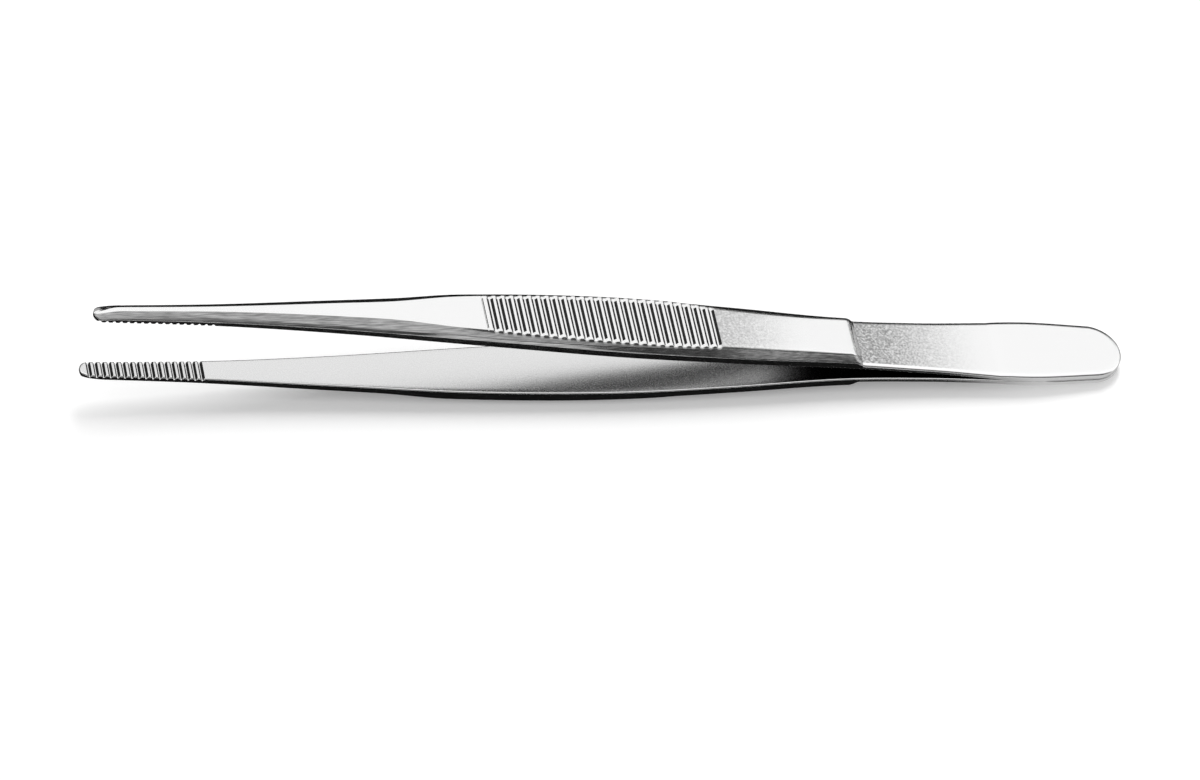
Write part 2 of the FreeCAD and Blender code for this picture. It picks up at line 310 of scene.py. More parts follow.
# %% [markdown]
# ## One row of the skin
# The skin is a tube of rows, each one a closed section at one place along the arm. A row
# knows all its heights and widths once, and then gives the height of any point on its outer
# or inner face. Its columns crowd together wherever an edge is rounded.

# %% Row
PROBE = 0.05
SPRING_FLAT_SHARE = 0.6
SPRING_RIM_ROOM = 1.3 * SPRING_RIM


class Row:
    """The arm's section at one place along it."""

    def __init__(self, x):
        self.x = x
        self.half = outline(x)
        self.side = smooth(WIDTH, min(x, HEEL_ARC)) / 2
        self.lean = 1 / math.hypot(1, (outline(x + PROBE) - outline(x - PROBE)) / (2 * PROBE))
        self.inner = inner_height(x)
        self.inner_line = inner_line(x)
        self.outer = outer_flat(x)
        self.flat = smooth(FLAT, min(x, SHOULDER)) / 2
        self.facet = self.flat + smooth(FACET, min(x, SHOULDER))
        self.facet_slope = smooth(FACET_SLOPE, x)
        self.lip = max(smooth(LIP, x), 0) if x > SWELL_END else 0
        self.facet_z = self.outer - self.lip - (self.facet - self.flat) * self.facet_slope
        self.side_z = self.inner + smooth(SIDE_HEIGHT, x)
        self.ramp = ramp_height(x)
        self.spring = spring_height(x)
        self.nose = nose_height(x)
        behind = min(max((x - RAMP_START) / RAMP_RUN, 0), 1)
        self.rim = BAR_RIM + (SPRING_RIM - BAR_RIM) * behind
        self.rim_drop = BAR_RIM + (SPRING_RIM_DROP - BAR_RIM) * behind
        self.flat_column = self.flat + (SPRING_FLAT_SHARE * self.side - self.flat) * behind
        self.facet_column = self.facet + (self.side - SPRING_RIM_ROOM - self.facet) * behind

    def edge_distance(self, y):
        """Distance of a point of the row from the outline."""
        if self.x < TIP_RADIUS:
            return TIP_RADIUS - math.hypot(TIP_RADIUS - self.x, y)
        if self.x > HEEL_ARC:
            return HEEL_RADIUS - math.hypot(self.x - HEEL_CENTRE, y)
        return (self.half - y) * self.lean

    def outer_z(self, y):
        """Height of the outer face: flat, lip, two bevel facets, ramp, spring and rounded rim."""
        lip = self.lip * min(max((y - self.flat) / LIP_RUN, 0), 1)
        upper = self.outer - lip - (y - self.flat) * self.facet_slope
        lower_slope = (self.facet_z - self.side_z) / (self.side - self.facet)
        lower = self.facet_z - (y - self.facet) * lower_slope
        bar = blend_low(blend_low(self.outer, upper, CREASE), lower, CREASE)
        bar = min(blend_low(bar, self.ramp, RAMP_BLEND), self.nose)
        if self.x > RAMP_FOOT + RAMP_RUN:
            bar = self.spring
        elif self.x > RAMP_START:
            bar = blend_high(bar, self.spring, FOOT_BLEND)
        return bar - round_over(self.edge_distance(y), self.rim, self.rim_drop)

    def inner_z(self, y):
        """Height of the inner face, with its rounded edge fading out at the weld."""
        drop = round_over(self.edge_distance(y), INNER_RIM, INNER_RIM)
        return max(self.inner_line + drop, 0.0)


print("section at the grip is", round(2 * Row(GRIP_MIDDLE).half, 2), "mm wide")

# %% [markdown]
# ## Where the columns and rows lie
# A groove needs about a dozen rows, a plain stretch only one a millimetre. So the rows are
# listed stretch by stretch. Across the arm, each crease gets a small fan of columns.

# %% Columns
FLAT_SHARES = (0, 0.3, 0.6, 0.9)
FAN = (-1, -0.6, -0.25, 0, 0.25, 0.6, 1)
BEVEL_SHARES = (0.25, 0.5, 0.75)
LOWER_SHARES = (0.2, 0.4, 0.6, 0.8)
RIM_SHARES = (1, 0.76, 0.52, 0.32, 0.16, 0.06, 0)
CREASE_REACH = 0.12
RIM_REACH = 0.25
WALL_SHARES = (0.22, 0.45)
INNER_SHARES = (0.85, 0.6, 0.3, 0)


def outer_columns(row):
    """Places across the outer face, from the middle to the edge, before they are narrowed."""
    bevel = row.facet_column - row.flat_column
    lower = row.side - row.facet_column
    before = min(CREASE_REACH, row.flat_column / 3)
    after = min(CREASE_REACH, bevel / 2.5)
    beyond = min(CREASE_REACH, lower / 4)
    rim = min(max(RIM_REACH, row.rim), lower / 2)
    places = [share * (row.flat_column - before) for share in FLAT_SHARES]
    places += [row.flat_column + step * (before if step < 0 else after) for step in FAN]
    start = row.flat_column + after
    places += [start + share * (bevel - 2 * after) for share in BEVEL_SHARES]
    places += [row.facet_column + step * (after if step < 0 else beyond) for step in FAN]
    start = row.facet_column + beyond
    places += [start + share * (lower - beyond - rim) for share in LOWER_SHARES]
    places += [row.side - share * rim for share in RIM_SHARES]
    return places


def half_section(row):
    """Points (y, z, face) of half the section, from the outer middle to the inner middle."""
    narrow = row.half / row.side
    points = [(y * narrow, row.outer_z(y * narrow), 1) for y in outer_columns(row)]
    top = points[-1][1]
    bottom = row.inner_z(row.half)
    points += [(row.half, top + (bottom - top) * share, 0) for share in WALL_SHARES]
    rim = min(RIM_REACH, row.side / 3)
    inner = [row.side - share * rim for share in reversed(RIM_SHARES)]
    inner += [share * (row.side - rim) for share in INNER_SHARES]
    return points + [(y * narrow, row.inner_z(y * narrow), -1) for y in inner]


print("points round one section", 2 * len(half_section(Row(GRIP_MIDDLE))) - 2)

# %% Rows
GRIP_GROOVES = 26
GRIP_PITCH = 1.26
GRIP_MOUTH = 0.92
GRIP_FLOOR = 0.22
GRIP_DEPTH = 0.27
FIRST_GRIP_GROOVE = GRIP_FRONT + GRIP_PITCH / 2
BORDER_GAP = 1.1
BORDER_LINE = FIRST_GRIP_GROOVE - BORDER_GAP
JAW_GROOVES = 17
JAW_PITCH = 0.96
FIRST_JAW_GROOVE = 0.8
JAW_MOUTH = 0.7
JAW_FLOOR = 0.12
JAW_DEPTH = 0.42
GROOVE_FOOT_ROWS = (-0.3, 0, 0.3, 0.6)
GROOVE_MOUTH_ROWS = (0, 0.3, 1)
COARSE = 0.8
FINE = 0.08
TIP_ROWS = 16
HEEL_ROWS = 24
BEHIND_GROOVES = 0.2
BEFORE_RAMP = 0.8
BEHIND_RAMP = 1.2
BESIDE_STEP = 0.3


def evenly(start, end, step):
    """Places from start up to, but not with, end, about step apart."""
    count = max(1, round((end - start) / step))
    return [start + (end - start) * i / count for i in range(count)]


def over_grooves(first, pitch, count, mouth, floor):
    """Rows over a line of grooves: over each ridge, down both walls and along each floor."""
    wall = (mouth - floor) / 2
    half_groove = [floor / 4]
    half_groove += [floor / 2 + share * wall for share in GROOVE_FOOT_ROWS]
    half_groove += [mouth / 2 + share * wall for share in GROOVE_MOUTH_ROWS]
    steps = [-step for step in reversed(half_groove)] + half_groove + [pitch / 2]
    return [first + i * pitch + step for i in range(count) for step in steps]


def round_end(centre, radius, start, end, count):
    """Rows round an arc of the outline, from one angle to another."""
    return [centre + radius * math.cos(start + (end - start) * i / count) for i in range(count + 1)]


def all_rows(tooth_shift):
    """Every place along the arm that has a row."""
    first_jaw = FIRST_JAW_GROOVE + tooth_shift
    grooves_end = GRIP_FRONT + GRIP_GROOVES * GRIP_PITCH
    step_start = WELD_START - HEEL_STEP_RUN - BESIDE_STEP
    step_end = WELD_START + BESIDE_STEP
    places = round_end(TIP_RADIUS, TIP_RADIUS, math.pi, math.pi / 2, TIP_ROWS)
    places += over_grooves(first_jaw, JAW_PITCH, JAW_GROOVES, JAW_MOUTH, JAW_FLOOR)
    places += evenly(JAW_END + JAW_PITCH / 2, BORDER_LINE - BORDER_GAP / 2, COARSE)
    places += evenly(BORDER_LINE - BORDER_GAP / 3, BORDER_LINE + BORDER_GAP / 3, FINE / 2)
    places += over_grooves(FIRST_GRIP_GROOVE, GRIP_PITCH, GRIP_GROOVES, GRIP_MOUTH, GRIP_FLOOR)
    places += evenly(grooves_end + BEHIND_GROOVES, RAMP_START - BEFORE_RAMP, COARSE)
    places += evenly(RAMP_START - BEFORE_RAMP, RAMP_FOOT + BEHIND_RAMP, FINE)
    places += evenly(RAMP_FOOT + BEHIND_RAMP, step_start, COARSE)
    places += evenly(step_start, step_end, 2 * FINE)
    places += evenly(step_end, HEEL_ARC, COARSE)
    places += round_end(HEEL_CENTRE, HEEL_RADIUS, math.pi / 2 - HEEL_TAPER, 0, HEEL_ROWS)
    kept = []
    for x in sorted(places):
        if not kept or x - kept[-1] > FINE / 8:
            kept.append(x)
    kept[-1] = OVERALL_LENGTH
    return kept


print("rows along an arm", len(all_rows(0)))

# %% [markdown]
# ## The skin
# Each row becomes a closed ring of vertices, and neighbouring rings are joined by quads. At
# the tip and at the heel the ring shrinks to an upright line, so merging doubles closes the
# tube. Four attributes are stored on every point for the grooves: how far along the arm it
# is, which face it is on, how high that face was before anything was cut into it, and how
# far out from the middle the walls of the grooves get their painted shade.

# %% Skin of one arm
SATIN_SLOT, GROUND_SLOT, INNER_SLOT, EDGE_SLOT = 0, 1, 2, 3
MERGE = 0.0005


def half_slots(x):
    """Material of each strip of half a section, from the outer middle to the inner middle."""
    behind = x > RAMP_FOOT
    side = SATIN_SLOT if behind else GROUND_SLOT
    flat_strips = len(FLAT_SHARES) + len(FAN) // 2
    rim_strips = len(RIM_SHARES) - 1
    outer_strips = len(FLAT_SHARES) + 2 * len(FAN) + len(BEVEL_SHARES) + len(LOWER_SHARES)
    slots = [SATIN_SLOT] * flat_strips
    slots += [side] * (outer_strips - flat_strips)
    slots += [EDGE_SLOT if behind else GROUND_SLOT] * rim_strips
    slots += [side] * (len(WALL_SHARES) + 1)
    slots += [EDGE_SLOT] * rim_strips
    return slots + [INNER_SLOT] * len(INNER_SHARES)


def skin(name, tooth_shift):
    """Mesh of one arm in its own millimetres, still without its grooves."""
    mesh = bpy.data.meshes.new(name)
    shape = bmesh.new()
    along = shape.verts.layers.float.new("along")
    face_kind = shape.verts.layers.float.new("face_kind")
    face_height = shape.verts.layers.float.new("face_height")
    wall_edge = shape.verts.layers.float.new("wall_edge")
    rings = []
    slots = []
    for x in all_rows(tooth_shift):
        row = Row(x)
        half = half_section(row)
        whole = half + [(-y, z, kind) for y, z, kind in half[-2:0:-1]]
        ring = []
        for y, z, kind in whole:
            vert = shape.verts.new((x, y, z))
            vert[along] = x
            vert[face_kind] = kind
            vert[face_height] = row.outer if kind > 0 else row.inner
            vert[wall_edge] = FLAT_SHARES[-1] * row.flat if kind > 0 else row.half - RIM_REACH / 2
            ring.append(vert)
        rings.append(ring)
        strips = half_slots(x)
        slots.append(strips + strips[::-1])
    for ring, following, slot in zip(rings, rings[1:], slots):
        size = len(ring)
        for i in range(size):
            j = (i + 1) % size
            quad = shape.faces.new((ring[i], following[i], following[j], ring[j]))
            quad.material_index = slot[i]
            quad.smooth = True
    bmesh.ops.remove_doubles(shape, verts=shape.verts, dist=MERGE)
    bmesh.ops.recalc_face_normals(shape, faces=shape.faces)
    open_edges = sum(1 for edge in shape.edges if len(edge.link_faces) != 2)
    shape.to_mesh(mesh)
    shape.free()
    print(name, "faces", len(mesh.polygons), "open edges", open_edges)
    return mesh


print("finishes round one section", len(set(half_slots(GRIP_MIDDLE))))

# %% [markdown]
# ## Small helpers for node trees
# Geometry and shader trees are built with the same two helpers. One adds a node and fills its
# sockets in order, with a value or with another node's output. The other gives a group its
# named inputs and outputs.

# %% Node helpers
def add(tree, kind, *inputs, **settings):
    """Add a node with these settings, and fill its visible sockets in order."""
    new = tree.nodes.new(kind)
    for setting, value in settings.items():
        setattr(new, setting, value)
    sockets = [socket for socket in new.inputs if socket.enabled]
    for socket, value in zip(sockets, inputs):
        if isinstance(value, bpy.types.NodeSocket):
            tree.links.new(value, socket)
        elif value is not None:
            socket.default_value = value
    return new


def sum_of(tree, kind, operation, *inputs):
    """Output of a math node."""
    return add(tree, kind, *inputs, operation=operation).outputs[0]


def group(name, kind, inputs, outputs):
    """New node group with named inputs and outputs, and its two end nodes."""
    tree = bpy.data.node_groups.new(name, kind)
    for socket_name, socket_kind in inputs:
        tree.interface.new_socket(socket_name, in_out="INPUT", socket_type=socket_kind)
    for socket_name, socket_kind in outputs:
        tree.interface.new_socket(socket_name, in_out="OUTPUT", socket_type=socket_kind)
    return tree, tree.nodes.new("NodeGroupInput"), tree.nodes.new("NodeGroupOutput")


NUMBER = "NodeSocketFloat"
GEOMETRY = "NodeSocketGeometry"

# %% [markdown]
# ## Grooves with Geometry Nodes
# The grip has a row of like grooves outside, and each jaw a row of like teeth inside. They
# could be cut one by one with Booleans, which leaves hard edges and slivers. Here one tree
# works out, for every point, how far it is from the nearest groove, and lowers the points in
# a groove to its floor. The walls between floor and rim get a near-black material of their
# own, which paints shade into them. The tree serves the grip, the fine border line and the
# teeth alike.

# %% The groove tree
WALL_TOP = 0.03
WALL_FOOT = 0.98


def groove_tree():
    """Tree that cuts a row of grooves into one face of an arm, and paints shade on their walls."""
    names = ("First", "Pitch", "Count", "Mouth", "Floor", "Depth", "Face")
    inputs = [("Geometry", GEOMETRY)] + [(name, NUMBER) for name in names]
    inputs.append(("Finish", "NodeSocketMaterial"))
    tree, given, result = group("cut grooves", "GeometryNodeTree", inputs, [("Geometry", GEOMETRY)])
    value = given.outputs

    def number(operation, *operands):
        return sum_of(tree, "ShaderNodeMath", operation, *operands)

    def stored(name):
        return add(tree, "GeometryNodeInputNamedAttribute", name, data_type="FLOAT").outputs[0]

    along = stored("along")
    last = number("SUBTRACT", value["Count"], 1.0)
    past_first = number("SUBTRACT", along, value["First"])
    nearest = number("ROUND", number("DIVIDE", past_first, value["Pitch"]))
    nearest = number("MINIMUM", number("MAXIMUM", nearest, 0.0), last)
    centre = number("ADD", value["First"], number("MULTIPLY", nearest, value["Pitch"]))
    distance = number("ABSOLUTE", number("SUBTRACT", along, centre))
    half_floor = number("MULTIPLY", value["Floor"], 0.5)
    half_mouth = number("MULTIPLY", value["Mouth"], 0.5)
    ramp = add(tree, "ShaderNodeMapRange", distance, half_floor, half_mouth, value["Depth"], 0.0,
               interpolation_type="SMOOTHSTEP")
    cut = ramp.outputs[0]

    place = add(tree, "ShaderNodeSeparateXYZ", add(tree, "GeometryNodeInputPosition").outputs[0])
    height = number("MULTIPLY", place.outputs[2], value["Face"])
    floor = number("SUBTRACT", number("MULTIPLY", stored("face_height"), value["Face"]), cut)
    lowered = number("MULTIPLY", number("MINIMUM", height, floor), value["Face"])
    target = add(tree, "ShaderNodeCombineXYZ", place.outputs[0], place.outputs[1], lowered)
    on_face = number("GREATER_THAN", number("MULTIPLY", stored("face_kind"), value["Face"]), 0.5)
    moved = add(tree, "GeometryNodeSetPosition", value["Geometry"], on_face, target.outputs[0])

    # Painted shade: the groove walls between rim and floor, on the flat, get the near-black material.
    below_rim = number("GREATER_THAN", cut, number("MULTIPLY", value["Depth"], WALL_TOP))
    above_floor = number("LESS_THAN", cut, number("MULTIPLY", value["Depth"], WALL_FOOT))
    on_flat = number("LESS_THAN", number("ABSOLUTE", place.outputs[1]), stored("wall_edge"))
    on_wall = number("MULTIPLY", number("MULTIPLY", below_rim, above_floor), on_flat)
    in_groove = number("MULTIPLY", on_wall, on_face)
    real = add(tree, "GeometryNodeRealizeInstances", moved.outputs[0])
    done = add(tree, "GeometryNodeSetMaterial", real.outputs[0], in_groove, value["Finish"])
    tree.links.new(done.outputs[0], result.inputs[0])
    return tree


cut_grooves = groove_tree()
print("groove tree has", len(cut_grooves.nodes), "nodes")

# %% [markdown]
# ## Steel, in two shader groups
# Satin steel is never even. A very fine grain breaks up its reflections, and where a grinding
# wheel ran out it stays duller. The grain and the dull zone are each a node group with named
# inputs, so that every finish uses them with its own values. They read Object coordinates,
# which are metres here, so a scale of 6000 means grains a sixth of a millimetre across.

# %% Shader groups
NOISE_DETAIL = 2.0
NOISE_MIDDLE = 0.5
BLOTCH_SCALE = 3200.0
BLOTCH_LEVEL = 0.75


def grain_group():
    """Fine grain: a roughness that varies, and a height for a bump."""
    inputs = [("Scale", NUMBER), ("Stretch", NUMBER), ("Roughness", NUMBER), ("Spread", NUMBER)]
    outputs = [("Roughness", NUMBER), ("Height", NUMBER)]
    tree, given, result = group("grain", "ShaderNodeTree", inputs, outputs)
    value = given.outputs
    place = add(tree, "ShaderNodeTexCoord").outputs["Object"]
    long_scale = sum_of(tree, "ShaderNodeMath", "DIVIDE", value["Scale"], value["Stretch"])
    scales = add(tree, "ShaderNodeCombineXYZ", long_scale, value["Scale"], value["Scale"])
    scaled = sum_of(tree, "ShaderNodeVectorMath", "MULTIPLY", place, scales.outputs[0])
    noise = add(tree, "ShaderNodeTexNoise", scaled, 1.0, NOISE_DETAIL)
    centred = sum_of(tree, "ShaderNodeMath", "SUBTRACT", noise.outputs[0], NOISE_MIDDLE)
    spread = sum_of(tree, "ShaderNodeMath", "MULTIPLY", centred, value["Spread"])
    rough = sum_of(tree, "ShaderNodeMath", "ADD", value["Roughness"], spread)
    tree.links.new(rough, result.inputs["Roughness"])
    tree.links.new(noise.outputs[0], result.inputs["Height"])
    return tree


def dull_zone_group():
    """Mask that is 1 where a dull zone starts and fades along the arm, in blotches."""
    inputs = [("Start", NUMBER), ("Length", NUMBER), ("Blotches", NUMBER)]
    tree, given, result = group("dull zone", "ShaderNodeTree", inputs, [("Mask", NUMBER)])
    value = given.outputs
    place = add(tree, "ShaderNodeTexCoord").outputs["Object"]
    along = add(tree, "ShaderNodeSeparateXYZ", place).outputs[0]
    noise = add(tree, "ShaderNodeTexNoise", place, BLOTCH_SCALE, NOISE_DETAIL)
    centred = sum_of(tree, "ShaderNodeMath", "SUBTRACT", noise.outputs[0], NOISE_MIDDLE)
    blotch = sum_of(tree, "ShaderNodeMath", "MULTIPLY", centred, value["Blotches"])
    end = sum_of(tree, "ShaderNodeMath", "ADD", value["Start"], value["Length"])
    fade = add(tree, "ShaderNodeMapRange", along, value["Start"], end, 1.0, 0.0,
               interpolation_type="SMOOTHSTEP").outputs[0]
    inside = sum_of(tree, "ShaderNodeMath", "GREATER_THAN", along, value["Start"])
    level = sum_of(tree, "ShaderNodeMath", "ADD", blotch, BLOTCH_LEVEL)
    mottled = sum_of(tree, "ShaderNodeMath", "MULTIPLY", fade, level)
    mask = add(tree, "ShaderNodeMath", mottled, inside, operation="MULTIPLY", use_clamp=True)
    tree.links.new(mask.outputs[0], result.inputs["Mask"])
    return tree


grain = grain_group()
dull_zone = dull_zone_group()
print("shader groups", grain.name, "and", dull_zone.name)

# %% [markdown]
# ## Five materials, with painted shade and a painted highlight
# The outer flats are satin, and the inner faces a shade duller, as no wheel gets between the
# arms; towards the weld the inner faces darken to near black as painted shade between the
# arms. The bevels and side walls are ground along the arm, with grind streaks, and their low
# greys also paint shade into them. The rounded rims are polished by tumbling, and their base at
# full white paints a highlight along them. The walls of the grooves are near black as painted
# shade. The steel is the same everywhere else, so only its colour, roughness and bump differ.

# %% Materials
def use_group(tree, node_group, **values):
    """Node of a group in a material, with values for its named inputs."""
    new = tree.nodes.new("ShaderNodeGroup")
    new.node_tree = node_group
    for name, value in values.items():
        new.inputs[name].default_value = value
    return new


def new_steel(name):
    """Material with a plain metallic shader, its node tree and that shader."""
    material = bpy.data.materials.new(name)
    material.use_nodes = True
    shader = material.node_tree.nodes["Principled BSDF"]
    shader.inputs["Metallic"].default_value = 1.0
    return material, material.node_tree, shader


def add_bump(tree, shader, height, strength, distance):
    """Bump of a height into the shader's normal."""
    bump = add(tree, "ShaderNodeBump")
    bump.inputs["Strength"].default_value = strength
    bump.inputs["Distance"].default_value = distance
    tree.links.new(height, bump.inputs["Height"])
    tree.links.new(bump.outputs[0], shader.inputs["Normal"])


def mix_numbers(tree, mask, low, high):
    """Number that goes from low to high with a mask."""
    return add(tree, "ShaderNodeMix", mask, low, high, data_type="FLOAT").outputs[0]


def mix_colours(tree, mask, low, high):
    """Colour that goes from low to high with a mask."""
    mix = add(tree, "ShaderNodeMix", data_type="RGBA")
    tree.links.new(mask, mix.inputs["Factor"])
    first, second = [socket for socket in mix.inputs if socket.type == "RGBA"]
    first.default_value = low
    second.default_value = high
    return next(socket for socket in mix.outputs if socket.type == "RGBA")


def grey(level):
    """Neutral colour of that level."""
    return (level, level, level, 1.0)


GRAIN_SCALE = 6000.0
WALL_GRAIN_SCALE = 7000.0
GROUND_STRETCH = 16.0
BUMP_DEPTH = 0.00002
SATIN_BUMP = 0.15
GROUND_BUMP = 0.2

STEEL_GREY = 0.93
DULL_GREY = 0.38 * STEEL_GREY
DULL_ROUGHNESS = 0.42
DULL_BLOTCHES = 2.6
SHOULDER_DULL_LENGTH = 0.019
GRIP_DULL_LENGTH = 0.013
GRIP_DULL_SHARE = 0.6

INNER_GREYS = (0.72, 0.82)
# Grind streaks, with the greys kept low to paint shade into the bevels and side walls.
GROUND_STREAK_AND_SHADE_GREYS = (0.0, 0.75)
# Rims polished by tumbling, with a base at full white as a painted highlight.
EDGE_POLISH_AND_HIGHLIGHT_GREYS = (0.95, 1.0)
# Painted shade: the groove walls are near black.
WALL_SHADE_GREYS = (0.01, 0.05)
# Painted shade: the inner faces darken to near black towards the weld, between the arms.
THROAT_SHADE_START = 93.0
THROAT_SHADE_FULL = 103.0
THROAT_SHADE_SHARE = 0.06


def frame_x(x):
    """Place along the frame's own axis of a place along the arm."""
    return (lie_down @ Vector((x, 0, 0))).x


def satin_steel():
    """Satin flats, duller behind the shoulder and behind the grip."""
    material, tree, shader = new_steel("satin steel")
    fine = use_group(tree, grain, Scale=GRAIN_SCALE, Stretch=1.0, Roughness=0.24, Spread=0.12)
    run_out = use_group(tree, dull_zone, Start=frame_x(RAMP_FOOT), Length=SHOULDER_DULL_LENGTH,
                        Blotches=DULL_BLOTCHES)
    grooves_end = frame_x(GRIP_FRONT + GRIP_GROOVES * GRIP_PITCH)
    behind_grip = use_group(tree, dull_zone, Start=grooves_end, Length=GRIP_DULL_LENGTH,
                            Blotches=DULL_BLOTCHES)
    softened = sum_of(tree, "ShaderNodeMath", "MULTIPLY", behind_grip.outputs[0], GRIP_DULL_SHARE)
    dull = sum_of(tree, "ShaderNodeMath", "MAXIMUM", run_out.outputs[0], softened)
    rough = mix_numbers(tree, dull, fine.outputs["Roughness"], DULL_ROUGHNESS)
    tree.links.new(rough, shader.inputs["Roughness"])
    colour = mix_colours(tree, dull, grey(STEEL_GREY), grey(DULL_GREY))
    tree.links.new(colour, shader.inputs["Base Color"])
    add_bump(tree, shader, fine.outputs["Height"], SATIN_BUMP, BUMP_DEPTH)
    return material


def plain_steel(name, greys, stretch, roughness, spread, bump):
    """Steel of one even finish, whose grain goes from a low to a high grey."""
    material, tree, shader = new_steel(name)
    fine = use_group(tree, grain, Scale=GRAIN_SCALE, Stretch=stretch, Roughness=roughness, Spread=spread)
    tree.links.new(fine.outputs["Roughness"], shader.inputs["Roughness"])
    colour = mix_colours(tree, fine.outputs["Height"], grey(greys[0]), grey(greys[1]))
    tree.links.new(colour, shader.inputs["Base Color"])
    add_bump(tree, shader, fine.outputs["Height"], bump, BUMP_DEPTH)
    return material


def inner_steel():
    """Inner faces, darkened towards the weld as painted shade between the arms."""
    material, tree, shader = new_steel("inner steel")
    fine = use_group(tree, grain, Scale=GRAIN_SCALE, Stretch=1.0, Roughness=0.26, Spread=0.12)
    tree.links.new(fine.outputs["Roughness"], shader.inputs["Roughness"])
    bright = mix_numbers(tree, fine.outputs["Height"], INNER_GREYS[0], INNER_GREYS[1])
    place = add(tree, "ShaderNodeSeparateXYZ", add(tree, "ShaderNodeTexCoord").outputs["Object"])
    kept = add(tree, "ShaderNodeMapRange", place.outputs[0], frame_x(THROAT_SHADE_START), frame_x(THROAT_SHADE_FULL),
               1.0, THROAT_SHADE_SHARE, interpolation_type="SMOOTHSTEP")
    shade = sum_of(tree, "ShaderNodeMath", "MULTIPLY", bright, kept.outputs[0])
    colour = add(tree, "ShaderNodeCombineColor", shade, shade, shade)
    tree.links.new(colour.outputs[0], shader.inputs["Base Color"])
    add_bump(tree, shader, fine.outputs["Height"], SATIN_BUMP, BUMP_DEPTH)
    return material


def painted_shade_walls():
    """Near-black walls of the grooves, as painted shade."""
    material, tree, shader = new_steel("groove wall painted shade")
    shader.inputs["Metallic"].default_value = 0.0
    shader.inputs["Specular IOR Level"].default_value = 0.0
    fine = use_group(tree, grain, Scale=WALL_GRAIN_SCALE, Stretch=1.0, Roughness=0.8, Spread=0.15)
    tree.links.new(fine.outputs["Roughness"], shader.inputs["Roughness"])
    colour = mix_colours(tree, fine.outputs["Height"], grey(WALL_SHADE_GREYS[0]), grey(WALL_SHADE_GREYS[1]))
    tree.links.new(colour, shader.inputs["Base Color"])
    return material


satin = satin_steel()
# Ground bevels and side walls, darkened as painted shade.
ground = plain_steel("ground steel with painted shade", GROUND_STREAK_AND_SHADE_GREYS, GROUND_STRETCH, roughness=0.2, spread=0.12,
                     bump=GROUND_BUMP)
inner = inner_steel()
# Polished rims, whose white base paints a highlight along them.
edge = plain_steel("polished edge with painted highlight", EDGE_POLISH_AND_HIGHLIGHT_GREYS, 1.0, roughness=0.12, spread=0.05, bump=0.0)
walls = painted_shade_walls()
print("finishes", ", ".join(m.name for m in (satin, ground, inner, edge, walls)))

# %% [markdown]
# ## The two arms
# The lower arm is the upper one turned over, with its teeth half a pitch further back, so
# that the two rows of teeth mesh when the jaws close. Each finished skin stands for its
# measured arm and rides on the one body that the forceps has.

# %% Make the arms
BORDER_MOUTH = 0.24
BORDER_FLOOR = 0.08
BORDER_DEPTH = 0.1


def set_inputs(modifier, **values):
    """Give a modifier's named inputs their values."""
    items = modifier.node_group.interface.items_tree
    names = {item.name: item.identifier for item in items if item.in_out == "INPUT"}
    for name, value in values.items():
        modifier[names[name]] = value


def add_grooves(piece, name, **values):
    """Cut one row of grooves with the groove tree."""
    modifier = piece.modifiers.new(name, "NODES")
    modifier.node_group = cut_grooves
    set_inputs(modifier, Finish=walls, **values)


def make_arm(name, node, tooth_shift, turned_over):
    """Finished skin of one arm, in place of its measured solid."""
    mesh = skin(name, tooth_shift)
    for material in (satin, ground, inner, edge):
        mesh.materials.append(material)
    piece = bpy.data.objects.new(name, mesh)
    scene.collection.objects.link(piece)
    add_grooves(piece, "grip grooves", First=FIRST_GRIP_GROOVE, Pitch=GRIP_PITCH,
                Count=float(GRIP_GROOVES), Mouth=GRIP_MOUTH, Floor=GRIP_FLOOR, Depth=GRIP_DEPTH, Face=1.0)
    add_grooves(piece, "border line", First=BORDER_LINE, Pitch=BORDER_GAP, Count=1.0,
                Mouth=BORDER_MOUTH, Floor=BORDER_FLOOR, Depth=BORDER_DEPTH, Face=1.0)
    add_grooves(piece, "jaw teeth", First=FIRST_JAW_GROOVE + tooth_shift, Pitch=JAW_PITCH,
                Count=float(JAW_GROOVES), Mouth=JAW_MOUTH, Floor=JAW_FLOOR, Depth=JAW_DEPTH, Face=-1.0)
    evaluated = piece.evaluated_get(bpy.context.evaluated_depsgraph_get())
    finished = bpy.data.meshes.new_from_object(evaluated)
    piece.modifiers.clear()
    piece.data = finished
    if turned_over:
        finished.transform(turn_over)
        finished.flip_normals()
    finished.transform(lie_down)
    finished.name = name
    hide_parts(node)
    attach(piece, "root")
    triangles = sum(len(polygon.vertices) - 2 for polygon in finished.polygons)
    print(name, "has", triangles, "triangles")
    return piece


upper_skin = make_arm("upper_arm_skin", "upper_arm", 0.0, False)
make_arm("lower_arm_skin", "lower_arm", JAW_PITCH / 2, True)

# %% [markdown]
# ## Floor and backdrop
# The background is pure white, and yet the forceps keeps its soft shadow. The floor is a
# plain pale diffuse surface, and for the camera and in mirrors a little light is added, just
# enough to carry the lit floor to white. Metal needs something dark to reflect, or it looks
# like paper, so a black card that only reflections can see lies round the forceps. It grows
# paler in front of the heel, and a small white card under the spring brightens the steel above.

# %% Floor and cards
FLOOR_REACH = 3.0
FLOOR_DROP = 0.00005
FLOOR_GREY = 0.88
FLOOR_LIFT = 0.2
CARD_LEFT = -0.4
CARD_RIGHT = 0.1
CARD_FRONT = -0.026
CARD_BACK = 0.4
CARD_PALE_FROM = 0.046
CARD_PALE_TO = 0.062
CARD_GREY = 0.015
CARD_PALE_GREY = 0.55
CARD_DROP = 0.00002
WHITE_CARD_LEFT = 0.0395
WHITE_CARD_RIGHT = 0.0475
WHITE_CARD_FRONT = 0.0015
WHITE_CARD_BACK = 0.0125


